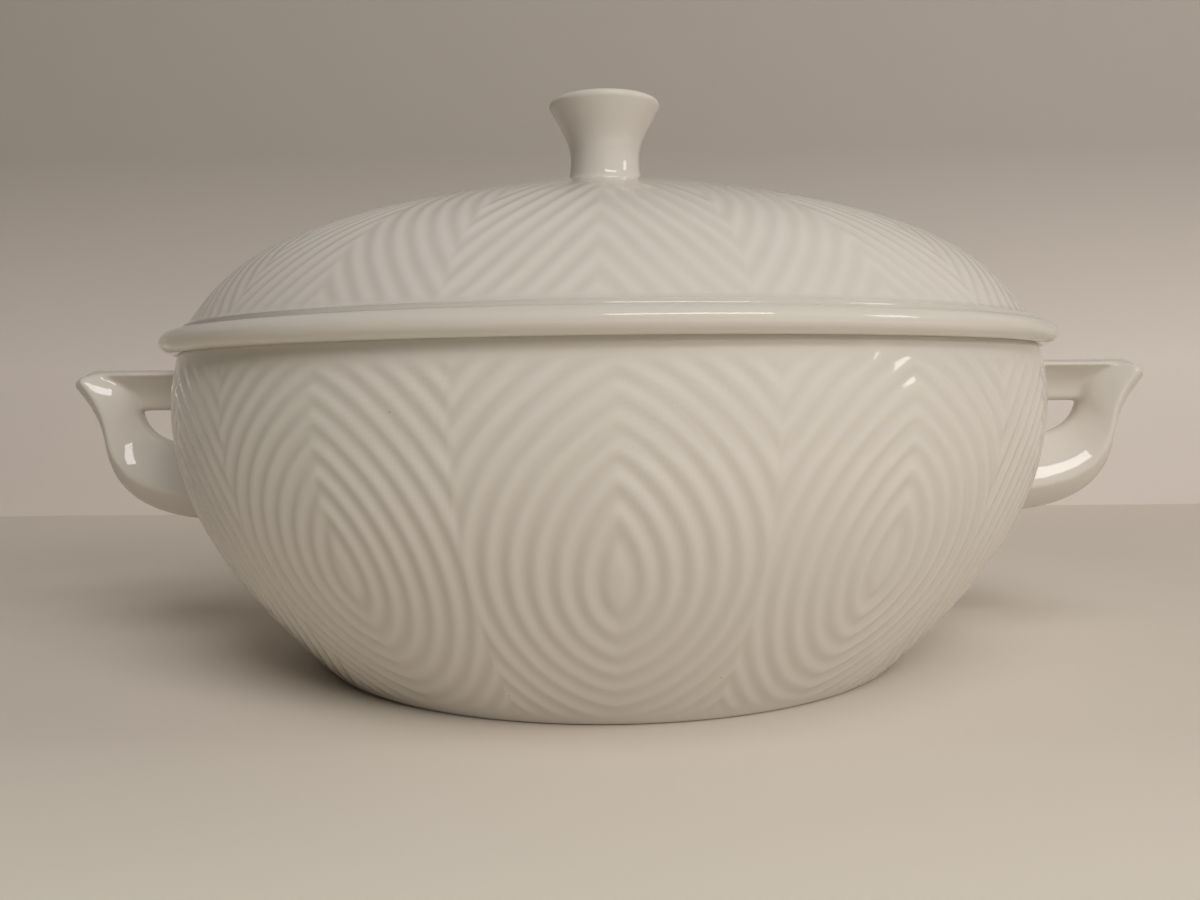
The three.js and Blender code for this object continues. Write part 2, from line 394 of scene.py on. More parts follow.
class Sheet:
    """Node tree of one material, with short calls to add and join its nodes."""

    def __init__(self, name: str) -> None:
        """Starts a material with its shader and the object's coordinates.

        Args:
            name: Name of the material.
        """
        self.material = bpy.data.materials.new(name)
        self.material.use_nodes = True
        self.tree = self.material.node_tree
        self.shader = self.tree.nodes["Principled BSDF"]
        self.output = self.tree.nodes["Material Output"]
        self.place = self.add("TexCoord").outputs["Object"]

    def add(self, kind: str, **inputs: object) -> bpy.types.Node:
        """Adds a node and sets its inputs by name.

        Args:
            kind: Node type without its ShaderNode prefix.
            **inputs: Values for inputs, with spaces written as underscores, or for the node's own settings.

        Returns:
            The new node.
        """
        node = self.tree.nodes.new("ShaderNode" + kind)
        for name, value in inputs.items():
            if hasattr(node, name):
                setattr(node, name, value)
            else:
                node.inputs[name.replace("_", " ")].default_value = value
        return node

    def join(self, source: bpy.types.NodeSocket, target: bpy.types.NodeSocket) -> None:
        """Links an output to an input."""
        self.tree.links.new(source, target)

    def ramp(self, source: bpy.types.NodeSocket, span: Pair, to: Pair) -> bpy.types.NodeSocket:
        """Maps a value from one range to another.

        Args:
            source: Value to map.
            span: Start and end of its range.
            to: Values at the start and the end.

        Returns:
            The mapped value.
        """
        node = self.add("MapRange", From_Min=span[0], From_Max=span[1], To_Min=to[0], To_Max=to[1])
        self.join(source, node.inputs["Value"])
        return node.outputs["Result"]

    def blend(self, share: bpy.types.NodeSocket, first: Tint, second: Tint) -> bpy.types.NodeSocket:
        """Mixes two colours by a share.

        Args:
            share: Weight of the second colour.
            first: A colour, or the socket that gives it.
            second: A colour, or the socket that gives it.

        Returns:
            The mixed colour.
        """
        node = self.add("Mix", data_type="RGBA")
        self.join(share, node.inputs["Factor"])
        for name, tint in (("A", first), ("B", second)):
            socket = next(s for s in node.inputs if s.name == name and s.type == "RGBA")
            if isinstance(tint, bpy.types.NodeSocket):
                self.join(tint, socket)
            else:
                socket.default_value = tint
        return next(s for s in node.outputs if s.type == "RGBA")

    def placed(self, kind: str, **inputs: float) -> bpy.types.Node:
        """Adds a node that reads the object's own coordinates.

        Args:
            kind: Node type without its ShaderNode prefix.
            **inputs: Values for its inputs.

        Returns:
            The new node.
        """
        node = self.add(kind, **inputs)
        self.join(self.place, node.inputs["Vector"])
        return node

    def roughen(self, height: bpy.types.NodeSocket, strength: float, depth: float) -> None:
        """Bends the shader's normal by a height.

        Args:
            height: Height of the fine grain.
            strength: Share of the effect.
            depth: Rise of the full height.
        """
        bump = self.add("Bump", Strength=strength, Distance=depth)
        self.join(height, bump.inputs["Height"])
        self.join(bump.outputs["Normal"], self.shader.inputs["Normal"])


@dataclass(frozen=True)
class Glaze:
    """Clear gloss glaze over white porcelain, darker in the grooves and lighter on the ribs: partly the
    glaze pooling and thinning, partly painted shade and painted light.
    """

    name: str = GLAZE_SLOT
    # rib is lighter and groove darker: partly glaze thickness, partly painted light on the ribs and painted
    # shade in the grooves
    rib: Colour = (0.80, 0.757, 0.698, 1.0)
    groove: Colour = (0.74, 0.69, 0.615, 1.0)
    cloud: Colour = (0.78, 0.74, 0.665, 1.0)
    speck: Colour = (0.30, 0.22, 0.14, 1.0)
    index: float = 1.52
    cloud_scale: float = 22.0
    cloud_detail: float = 3.0
    cloud_roughness: float = 0.55
    cloud_span: Pair = (0.45, 0.75)
    cloud_shares: Pair = (0.0, 0.6)
    speck_scale: float = 60.0
    speck_span: Pair = (0.007, 0.014)
    speck_shares: Pair = (0.7, 0.0)
    peel_scale: float = 620.0
    peel_detail: float = 1.5
    peel_depth: float = 0.10 * MM
    peel_strength: float = 0.05
    gloss_span: Pair = (0.3, 0.7)
    roughness: Pair = (0.03, 0.07)

    def material(self) -> bpy.types.Material:
        """Builds the glaze from object coordinates and the carved height.

        Returns:
            The glaze.
        """
        sheet = Sheet(self.name)
        shader = sheet.shader
        shader.inputs["IOR"].default_value = self.index

        clouds = sheet.placed(
            "TexNoise", Scale=self.cloud_scale, Detail=self.cloud_detail, Roughness=self.cloud_roughness,
        ).outputs["Fac"]
        height = sheet.add("Attribute", attribute_name=RELIEF_LAYER)
        # darker in the grooves: partly glaze pooling, partly painted shade standing in for the relief's own
        # shading
        groove_pool_and_shade = sheet.ramp(height.outputs["Fac"], (-1.0, 1.0), (1.0, 0.0))
        body = sheet.blend(groove_pool_and_shade, self.rib, self.groove)
        clouded = sheet.blend(sheet.ramp(clouds, self.cloud_span, self.cloud_shares), body, self.cloud)

        specks = sheet.placed("TexVoronoi", Scale=self.speck_scale)
        spotted = sheet.ramp(specks.outputs["Distance"], self.speck_span, self.speck_shares)
        sheet.join(sheet.blend(spotted, clouded, self.speck), shader.inputs["Base Color"])

        sheet.join(sheet.ramp(clouds, self.gloss_span, self.roughness), shader.inputs["Roughness"])

        peel = sheet.placed("TexNoise", Scale=self.peel_scale, Detail=self.peel_detail)
        sheet.roughen(peel.outputs["Fac"], self.peel_strength, self.peel_depth)
        return sheet.material


@dataclass(frozen=True)
class Biscuit:
    """Bare fired porcelain where a piece stood in the kiln."""

    name: str = "bare_biscuit"
    light: Colour = (0.78, 0.70, 0.60, 1.0)
    dark: Colour = (0.66, 0.58, 0.48, 1.0)
    grain_scale: float = 900.0
    grain_detail: float = 4.0
    grain_span: Pair = (0.3, 0.7)
    grain_depth: float = 0.15 * MM
    grain_strength: float = 0.35
    roughness: Pair = (0.62, 0.85)

    def material(self) -> bpy.types.Material:
        """Builds the dry, finely grained surface.

        Returns:
            The biscuit.
        """
        sheet = Sheet(self.name)
        shader = sheet.shader
        grain = sheet.placed("TexNoise", Scale=self.grain_scale, Detail=self.grain_detail).outputs["Fac"]
        share = sheet.ramp(grain, self.grain_span, (0.0, 1.0))
        sheet.join(sheet.blend(share, self.light, self.dark), shader.inputs["Base Color"])
        sheet.join(sheet.ramp(grain, self.grain_span, self.roughness), shader.inputs["Roughness"])
        sheet.roughen(grain, self.grain_strength, self.grain_depth)
        return sheet.material


@dataclass(frozen=True)
class Finishes:
    """The finishes that the pieces share, in the order that Coat names them."""

    glaze: bpy.types.Material
    biscuit: bpy.types.Material

    def dress(self, mesh: bmesh.types.BMesh, node: str, body: str) -> bpy.types.Object:
        """Makes a piece of a mesh, gives it both finishes and sets it in a CAD node's place.

        Args:
            mesh: The finished mesh, whose faces choose their finish.
            node: Node that the piece stands for.
            body: Body that carries it.

        Returns:
            The piece.
        """
        piece = piece_from(mesh, f"tureen_{node}")
        piece.data.materials.append(self.glaze)
        piece.data.materials.append(self.biscuit)
        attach(piece, body)
        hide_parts(node)
        triangles = sum(len(face.vertices) - 2 for face in piece.data.polygons)
        LOG.info("%s: %d triangles on body %s", piece.name, triangles, body)
        return piece


def piece_from(mesh: bmesh.types.BMesh, name: str) -> bpy.types.Object:
    """Makes a scene object of a mesh.

    Args:
        mesh: The finished mesh, which is freed.
        name: Name of the piece.

    Returns:
        The object, at the origin.
    """
    data = bpy.data.meshes.new(name)
    mesh.to_mesh(data)
    mesh.free()
    piece = bpy.data.objects.new(name, data)
    bpy.context.scene.collection.objects.link(piece)
    return piece


# Bowl


@dataclass
class Bowl:
    """Round bowl on a foot ring, with nested ovals carved round its wall."""

    height: float = 86.2 * MM
    wall: float = 5.0 * MM
    floor: float = 5.5 * MM
    floor_fillet: float = 16 * MM
    rim_radius: float = 120.1 * MM
    belly_swell: float = 1.6 * MM
    belly_height: float = 70.3 * MM
    belly_pull: float = 31.5 * MM
    foot_radius: float = 84 * MM
    foot_width: float = 6 * MM
    foot_draft: float = 1.5 * MM
    foot_recess: float = 3 * MM
    foot_round: float = 0.9 * MM
    foot_bend: float = 0.3  # share of the foot's inner slope that a rounding takes
    rim_round: float = 1.3 * MM
    flare_angle: float = 47.9
    flare_pull: float = 20.9 * MM
    row_pitch: float = 1.0 * MM
    inside_pitch: float = 4.0 * MM
    wall_steps: int = 160
    shoulder_steps: int = 40
    fillet_steps: int = 12
    foot_steps: int = 4
    rim_steps: int = 8
    relief: NestedOvals = NestedOvals()

    @property
    def belly_radius(self) -> float:
        """Widest radius of the wall."""
        return self.rim_radius + self.belly_swell

    @cached_property
    def outside(self) -> list[Vector]:
        """Outside of the wall.

        Returns:
            Points from the foot's edge up to where the rim rounds over.
        """
        foot = Vector((self.foot_radius, 0.0))
        flare = foot + polar(self.flare_pull, self.flare_angle)
        belly = Vector((self.belly_radius, self.belly_height))
        shoulder = Vector((self.rim_radius, self.height - self.rim_round))
        upright = Vector((belly.x, belly.y - self.belly_pull))
        over = Vector((belly.x, (belly.y + shoulder.y) / 2))
        lower = bezier([foot, flare, upright, belly], self.wall_steps)
        upper = bezier([belly, over, shoulder], self.shoulder_steps)
        return spaced(lower + upper[1:], self.row_pitch)

    def radius_at(self, height: float) -> float:
        """Measures the wall's outside.

        Args:
            height: Height above the table.

        Returns:
            The radius there, or that of the nearer end.
        """
        line = self.outside
        for low, high in zip(line, line[1:]):
            if low.y <= height <= high.y:
                return low.lerp(high, (height - low.y) / (high.y - low.y)).x
        return line[-1].x if height > line[-1].y else line[0].x

    def inside(self) -> list[Vector]:
        """Draws the inside of the wall.

        Returns:
            Points from under the rim down to the flat of the floor.
        """
        floor_top = self.foot_recess + self.floor
        wall = [place for place in inset(self.outside, self.wall) if place.y > floor_top]
        corner = Vector((wall[0].x, floor_top))
        upper = [place for place in wall if (place - corner).length > self.floor_fillet]
        flat = Vector((corner.x - self.floor_fillet, floor_top))
        fillet = bezier([upper[0], corner, flat], self.fillet_steps)
        return spaced(upper[::-1], self.inside_pitch) + fillet[1:]

    def foot(self) -> list[Station]:
        """Draws the underside and the foot ring, whose standing edge is bare.

        Returns:
            Rings from the middle of the underside out to the foot's outer edge.
        """
        inner = self.foot_radius - self.foot_width
        bevel = Vector((self.foot_round, 0.0))
        edge = Vector((inner, 0.0))
        recess = Vector((inner - self.foot_draft, self.foot_recess))
        wall = self.outside
        underside = [Vector((0.0, self.foot_recess)), Vector((inner / 2, self.foot_recess))]
        slope_top = recess.lerp(edge, self.foot_bend)
        slope_foot = edge.lerp(recess, self.foot_bend)
        underside += bezier([recess - 2 * bevel, recess, slope_top], self.foot_steps)
        inner_round = bezier([slope_foot, edge, edge + bevel], self.foot_steps)
        outer_round = bezier([wall[0] - bevel, wall[0], wall[1]], self.foot_steps)
        rings = plain(underside + inner_round[:-1])
        rings += plain([inner_round[-1], outer_round[0]], Coat.BARE)
        return rings + plain(outer_round[1:-1])

    def profile(self) -> list[Station]:
        """Draws the whole section.

        Returns:
            Rings from the middle of the underside round to the middle of the floor.
        """
        rim_size = (self.rim_round, self.rim_round)
        rim_outer = Vector((self.rim_radius - self.rim_round, self.height - self.rim_round))
        rim_inner = rim_outer - Vector((self.wall - 2 * self.rim_round, 0.0))
        rim = arc(rim_outer, rim_size, 0, 90, self.rim_steps)
        rim += arc(rim_inner, rim_size, 90, 180, self.rim_steps)
        inside = self.inside()
        middle = Vector((0.0, self.foot_recess + self.floor))
        floor = [inside[-1].lerp(middle, 0.5), middle]
        return self.foot() + carved(self.outside)[1:] + plain(rim[1:-1] + inside + floor)

    def build(self, finishes: Finishes) -> bpy.types.Object:
        """Turns, carves and dresses the bowl."""
        return finishes.dress(Turning(self.profile(), relief=self.relief).build(), "bowl", "bowl")


# Handles


@dataclass(frozen=True)
class Bend:
    """Bends of a limb's edges, as shares of the handle's sizes."""

    hole_floor: float = 0.5  # level stretch of the hole's floor, of its reach
    hole_corner_reach: float = 0.92
    hole_corner_rise: float = 0.3  # of the hole's height
    heel_reach: float = 0.66  # of the waist's reach
    heel_rise: float = 0.02  # of the root's depth
    calf_reach: float = 0.94  # of the waist's reach
    calf_fall: float = 0.6  # of the way from the waist down to the heel
    neck_pull: float = 1.05  # of the waist's reach
    neck_start: float = 2 / 3  # of the limb's climb
    lip_tuck: float = 0.2  # of the lip's depth
    cap_fall: float = 0.7  # of the cap's rise


@dataclass
class Handle:
    """Loop handle: a faceted limb that climbs from the wall and curls over into a lip, and a hollow arm."""

    side: Side
    bowl: Bowl
    top_drop: float = 3.5 * MM
    lip_reach: float = 37.4 * MM
    lip_depth: float = 8.2 * MM
    arm_depth: float = 12.3 * MM
    arm_width: float = 18 * MM
    arm_ridge: float = 1.8 * MM
    arm_hollow: float = 0.6  # sections under the arm: 1 is a diamond, and less is hollow
    arm_web: float = 3 * MM
    web_round: float = 0.25  # share of the section where the web's foot is rounded
    arm_reach: float = 33 * MM
    arm_taper: float = 0.4  # share of the width that the arm loses inside the limb
    hole_height: float = 11.4 * MM
    hole_reach: float = 19.2 * MM
    root_depth: float = 22.2 * MM
    root_width: float = 23 * MM
    limb_width: float = 20.5 * MM
    neck_width: float = 20 * MM
    neck_reach: float = 24 * MM
    crest: float = 0.63  # place of the limb's crest between its edges
    waist_reach: float = 29.4 * MM
    waist_drop: float = 26.2 * MM
    sink: float = 10 * MM
    seat: float = 2 * MM
    inner_slope: float = 0.48  # share of the width that a facet loses
    outer_slope: float = 0.45
    roundness: float = 2.5  # limb sections: 2 is an ellipse
    nose_reach: float = 38.2 * MM
    nose_drop: float = 5.0 * MM
    nose_round: float = 3.0 * MM
    nose_degrees: range = range(12, 85, 12)
    cap_rise: float = 1.0 * MM
    fillet: float = 1.6 * MM
    voxel: float = 0.55 * MM
    smoothing: int = 10
    smoothing_share: float = 0.5
    ring_sides: int = 48
    limb_steps: int = 36
    neck_steps: int = 18
    arm_steps: int = 12
    taper_steps: int = 7
    bend: Bend = Bend()

    @property
    def hole_floor(self) -> float:
        """Drop of the finger hole's floor."""
        return self.top_drop + self.arm_depth + self.hole_height

    @property
    def lip_middle(self) -> float:
        """Drop of the lip's middle."""
        return self.top_drop + self.lip_depth / 2

    def beside(self, reach: float, drop: float) -> Vector:
        """Place beyond the belly and below the rim, in the handle's middle plane."""
        return Vector((self.bowl.belly_radius + reach, self.bowl.height - drop))

    def ring(self, mesh: bmesh.types.BMesh, shape: Shape) -> list[bmesh.types.BMEdge]:
        """Adds one ring of a loft.

        Args:
            mesh: Mesh that gets the ring.
            shape: Gives the place of a point from the cosine and sine of its angle.

        Returns:
            The ring's edges.
        """
        made = bmesh.ops.create_circle(mesh, cap_ends=False, radius=1.0, segments=self.ring_sides)
        for vert in made["verts"]:
            vert.co = self.seated(shape(vert.co.y, vert.co.x))
        return list({edge for vert in made["verts"] for edge in vert.link_edges})

    def seated(self, place: Vector) -> Vector:
        """Keeps a point from going deeper into the wall than the seat.

        Args:
            place: The point.

        Returns:
            The point, moved out along X where it was too deep.
        """
        depth = self.bowl.radius_at(place.z) - self.seat
        if math.hypot(place.x, place.y) < depth:
            return Vector((math.sqrt(depth ** 2 - place.y ** 2), place.y, place.z))
        return place

    def limb_ring(self, inner: Vector, outer: Vector, width: float) -> Shape:
        """Draws a section of the limb: two facets that meet in a soft crest near its outer edge.

        Args:
            inner: Edge on the finger hole's side.
            outer: Edge on the outside.
            width: Width at the crest.

        Returns:
            The section's shape.
        """
        crest = inner.lerp(outer, self.crest)
        power = 2 / self.roundness

        def shape(cosine: float, sine: float) -> Vector:
            """Places a point of the section.

            Args:
                cosine: Cosine of its angle, from the inner edge at -1 to the outer one at 1.
                sine: Sine of its angle.

            Returns:
                The place.
            """
            away = abs(cosine) ** power
            facet = 1 - away * (self.outer_slope if cosine > 0 else self.inner_slope)
            edge = crest.lerp(outer if cosine > 0 else inner, away)
            side = math.copysign(abs(sine) ** power, sine) * facet * width / 2
            return Vector((edge.x, side, edge.y))

        return shape

    def arm_ring(self, reach: float, top: float, bottom: float, width: float) -> Shape:
        """Draws a section of the arm: a nearly level top over a web, hollow on both sides.

        Args:
            reach: Distance from the bowl's axis.
            top: Height of the thumb rest.
            bottom: Height of the web's foot.
            width: Width under the thumb rest.

        Returns:
            The section's shape.
        """
        ridge = top - self.arm_ridge
        power = 2 / self.arm_hollow

        def shape(cosine: float, sine: float) -> Vector:
            """Places a point of the section.

            Args:
                cosine: Cosine of its angle, from the top at -1 to the bottom at 1.
                sine: Sine of its angle.

            Returns:
                The place.
            """
            if cosine < 0:
                return Vector((reach, sine * width / 2, ridge - (top - ridge) * cosine))
            web = self.arm_web * min(abs(sine) / self.web_round, 1.0)
            across = web + (width - self.arm_web) * abs(sine) ** power
            height = ridge - (ridge - bottom) * cosine ** power
            return Vector((reach, math.copysign(across / 2, sine), height))

        return shape

    def inner_edge(self) -> list[Vector]:
        """Draws the limb's edge along the finger hole.

        Returns:
            Points from inside the wall up to the thumb rest.
        """
        bend = self.bend
        corner_drop = self.hole_floor - self.hole_height * bend.hole_corner_rise
        arm_floor = self.beside(self.hole_reach, self.top_drop + self.arm_depth)
        low = bezier([
            self.beside(-self.sink, self.hole_floor),
            self.beside(self.hole_reach * bend.hole_floor, self.hole_floor),
            self.beside(self.hole_reach * bend.hole_corner_reach, corner_drop),
            arm_floor,
        ], self.limb_steps)
        high = bezier([
            arm_floor,
            self.beside(self.hole_reach, self.lip_middle),
            self.beside(self.neck_reach, self.top_drop + self.cap_rise * bend.cap_fall),
        ], self.neck_steps)
        return low + high[1:]

    def outer_edge(self) -> list[Vector]:
        """Draws the limb's edge round its outside.

        Returns:
            As many points as the inner edge has, from inside the wall up to the lip.
        """
        bend = self.bend
        heel = self.hole_floor + self.root_depth
        waist = self.beside(self.waist_reach, self.waist_drop)
        low = bezier([
            self.beside(-self.sink, heel),
            self.beside(self.waist_reach * bend.heel_reach, heel - self.root_depth * bend.heel_rise),
            self.beside(self.waist_reach * bend.calf_reach, mix(self.waist_drop, heel, bend.calf_fall)),
            waist,
        ], self.limb_steps)
        high = bezier([
            waist,
            self.beside(self.waist_reach * bend.neck_pull, (self.waist_drop + self.lip_middle) / 2),
            self.beside(self.lip_reach - self.lip_depth * bend.lip_tuck, self.top_drop + self.lip_depth),
            self.beside(self.nose_reach, self.top_drop + self.nose_drop),
        ], self.neck_steps)
        return low + high[1:]

    def width_at(self, climb: float) -> float:
        """Works out the limb's width.

        Args:
            climb: Share of the way from the root up to the lip.

        Returns:
            The width there.
        """
        start = self.bend.neck_start
        if climb < start:
            return mix(self.root_width, self.limb_width, climb / start)
        return mix(self.limb_width, self.neck_width, (climb - start) / (1 - start))

    def limb(self) -> list[Shape]:
        """Draws the limb and the lip that it curls over into.

        Returns:
            Its sections, from inside the wall up to the nose of the lip.
        """
        edges = list(zip(self.inner_edge(), self.outer_edge()))
        sections = []
        for i, (inner, outer) in enumerate(edges):
            sections.append(self.limb_ring(inner, outer, self.width_at(i / (len(edges) - 1))))
        inner, outer = edges[-1]
        for degrees in self.nose_degrees:
            curl = polar(1.0, degrees)
            inner_end = inner + Vector((0.0, self.cap_rise * curl.y))
            outer_end = outer + Vector((curl.x - 1, curl.y)) * self.nose_round
            sections.append(self.limb_ring(inner_end, outer_end, self.neck_width * math.sqrt(curl.x)))
        return sections

    def arm(self) -> list[Shape]:
        """Draws the arm that carries the thumb rest.

        Returns:
            Its sections, from inside the wall out to where it ends inside the limb.
        """
        top = self.bowl.height - self.top_drop
        underside = top - self.arm_depth
        start, hole_end, end = (
            self.bowl.belly_radius + reach for reach in (-self.sink, self.hole_reach, self.arm_reach)
        )
        sections = []
        for i in range(self.arm_steps):
            reach = mix(start, hole_end, i / self.arm_steps)
            sections.append(self.arm_ring(reach, top, underside, self.arm_width))
        for i in range(self.taper_steps + 1):
            share = i / self.taper_steps
            bottom = mix(underside, top - self.lip_depth, ramp(share, 0, 1))
            width = self.arm_width * (1 - self.arm_taper * share)
            sections.append(self.arm_ring(mix(hole_end, end, share), top, bottom, width))
        return sections

    def loft(self, mesh: bmesh.types.BMesh, sections: list[Shape]) -> None:
        """Bridges sections into one closed skin.

        Args:
            mesh: Mesh that gets the skin.
            sections: Shapes of its rings, in order.
        """
        rings = [self.ring(mesh, shape) for shape in sections]
        for low, high in zip(rings, rings[1:]):
            bmesh.ops.bridge_loops(mesh, edges=low + high)
        for end in (rings[0], rings[-1]):
            bmesh.ops.contextual_create(mesh, geom=end)

    def fused(self, mesh: bmesh.types.BMesh) -> bmesh.types.BMesh:
        """Joins overlapping skins into one by a fine voxel grid.

        Args:
            mesh: Closed skins that overlap, which is freed.

        Returns:
            One closed skin.
        """
        bmesh.ops.recalc_face_normals(mesh, faces=mesh.faces)
        rough = piece_from(mesh, "handle_rough")
        remesh = rough.modifiers.new("fuse", "REMESH")
        remesh.mode = "VOXEL"
        remesh.voxel_size = self.voxel
        remesh.use_smooth_shade = True
        bpy.context.view_layer.update()
        shaped = rough.evaluated_get(bpy.context.evaluated_depsgraph_get())
        joined = bmesh.new()
        joined.from_mesh(shaped.data)
        data = rough.data
        bpy.data.objects.remove(rough)
        bpy.data.meshes.remove(data)
        return joined

    def blend_root(self, mesh: bmesh.types.BMesh) -> None:
        """Spreads the skin outwards where it meets the wall, as joining slip does.

        Args:
            mesh: The handle's skin.
        """
        mesh.normal_update()
        moves = []
        for vert in mesh.verts:
            radius = math.hypot(vert.co.x, vert.co.y)
            gap = radius - self.bowl.radius_at(vert.co.z)
            short = self.fillet - max(gap, 0.0)
            if short <= 0:
                continue
            away = Vector((vert.co.x / radius, vert.co.y / radius, 0.0))
            along_wall = vert.normal - away * vert.normal.dot(away)
            spread = self.fillet - math.sqrt(self.fillet ** 2 - short ** 2)
            moves.append((vert, along_wall * spread))
        for vert, move in moves:
            vert.co += move

    def build(self, finishes: Finishes) -> bpy.types.Object:
        """Lofts the limb and the arm, fuses them and blends them into the wall.

        Args:
            finishes: Materials of the pieces.

        Returns:
            The handle.
        """
        mesh = bmesh.new()
        self.loft(mesh, self.limb())
        self.loft(mesh, self.arm())
        mesh = self.fused(mesh)
        for _ in range(self.smoothing):
            bmesh.ops.smooth_vert(
                mesh, verts=mesh.verts, factor=self.smoothing_share,
                use_axis_x=True, use_axis_y=True, use_axis_z=True,
            )
        self.blend_root(mesh)
        turn = Matrix.Rotation(self.side.turn, 3, "Z")
        bmesh.ops.rotate(mesh, verts=mesh.verts, cent=(0, 0, 0), matrix=turn)
        bmesh.ops.recalc_face_normals(mesh, faces=mesh.faces)
        for face in mesh.faces:
            face.smooth = True
        return finishes.dress(mesh, self.side.value, "bowl")


# Lid


@dataclass
class Lid:
    """Domed lid with a bead and two fine steps round its edge, and a skirt that drops into the bowl."""

    bowl: Bowl
    seat_gap: float = 0.3 * MM
    wall: float = 4.6 * MM
    overhang: float = 4.3 * MM
    bead_height: float = 4.7 * MM
    bead_drop: float = 0.9 * MM
    bead_depth: float = 3.2 * MM
    moulding_height: float = 2.9 * MM
    foot_drop: float = 1.4 * MM
    undercut: float = 0.45  # lean of the steps' risers
    steps: tuple[Pair, ...] = ((1.5 * MM, 0.5 * MM), (2.6 * MM, 1.5 * MM))  # inward, up
    step_round: float = 0.1 * MM
    dome_inset: float = 3.6 * MM
    dome_rise: float = 42.1 * MM
    shoulder_angle: float = 57.0
    shoulder_pull: float = 22.5 * MM
    crown_angle: float = 10.9
    crown_pull: float = 78.2 * MM
    pad_radius: float = 13 * MM
    skirt_depth: float = 9 * MM
    skirt_clearance: float = 1.2 * MM
    row_pitch: float = 0.95 * MM
    under_pitch: float = 2.85 * MM
    dome_steps: int = 240
    bead_steps: int = 22
    corner_steps: int = 4
    skirt_steps: int = 12
    skirt_bare: tuple[int, int] = (4, 9)  # steps of the skirt's foot that have no glaze
    relief: FannedRibs = FannedRibs()

    @property
    def base(self) -> float:
        """Height of the seat above the table."""
        return self.bowl.height + self.seat_gap

    @property
    def pad_height(self) -> float:
        """Height of the flat under the knob, above the seat."""
        return self.bead_height + self.moulding_height + self.dome_rise

    def dome(self) -> list[Vector]:
        """Draws the outside of the dome.

        Returns:
            Points from its foot up to the flat under the knob.
        """
        foot = Vector((self.bowl.rim_radius - self.dome_inset, self.bead_height + self.moulding_height))
        pad = Vector((self.pad_radius, self.pad_height))
        shoulder = foot + polar(self.shoulder_pull, 180 - self.shoulder_angle)
        crown = pad + polar(self.crown_pull, -self.crown_angle)
        lowered = foot - polar(self.foot_drop, 180 - self.shoulder_angle)
        return spaced([lowered] + bezier([foot, shoulder, crown, pad], self.dome_steps), self.row_pitch)

    def edge(self) -> list[Vector]:
        """Draws the bead and the two fine steps above it.

        Returns:
            Points from the seat up to the dome's foot.
        """
        nose = self.bowl.rim_radius + self.overhang
        middle = Vector((nose - self.bead_depth, (self.bead_height - self.bead_drop) / 2))
        radii = (self.bead_depth, (self.bead_height + self.bead_drop) / 2)
        line = arc(middle, radii, -90, 90, self.bead_steps)
        top = line[-1]
        level = top.y
        for inward, rise in self.steps:
            corner = top + Vector((-inward, rise))
            riser = Vector((corner.x - self.undercut * rise, level))
            below = corner - Vector((0.0, self.step_round))
            behind = corner - Vector((self.step_round, 0.0))
            line += [riser] + bezier([below, corner, behind], self.corner_steps)
            level = corner.y
        return line

    def profile(self) -> list[Station]:
        """Draws the whole section.

        Returns:
            Rings from the middle of the underside round to the middle of the top.
        """
        dome = self.dome()
        skirt_radius = self.bowl.rim_radius - self.bowl.wall - self.skirt_clearance
        skirt_middle = Vector((skirt_radius - self.wall / 2, self.wall / 2 - self.skirt_depth))
        skirt_foot = arc(skirt_middle, (self.wall / 2, self.wall / 2), -180, 0, self.skirt_steps)
        first, last = self.skirt_bare
        under = [place for place in inset(dome, self.wall) if place.x < skirt_radius - self.wall]
        crown = Vector((0.0, self.pad_height - self.wall))
        seat = [Vector((skirt_radius, 0.0)), Vector((self.bowl.rim_radius, 0.0))]
        rings = plain([crown] + spaced(under[::-1], self.under_pitch) + skirt_foot[:first])
        rings += plain(skirt_foot[first:last], Coat.BARE)
        rings += plain(skirt_foot[last:] + seat + self.edge())
        for station in carved(dome):
            if station.along > self.relief.crown_plain[0]:
                station.along = None
            rings.append(station)
        rings += plain([Vector((0.0, self.pad_height))])
        for station in rings:
            station.place = station.place + Vector((0.0, self.base))
        return rings

    def build(self, finishes: Finishes) -> bpy.types.Object:
        """Turns, carves and dresses the lid."""
        return finishes.dress(Turning(self.profile(), relief=self.relief).build(), "lid", "lid")


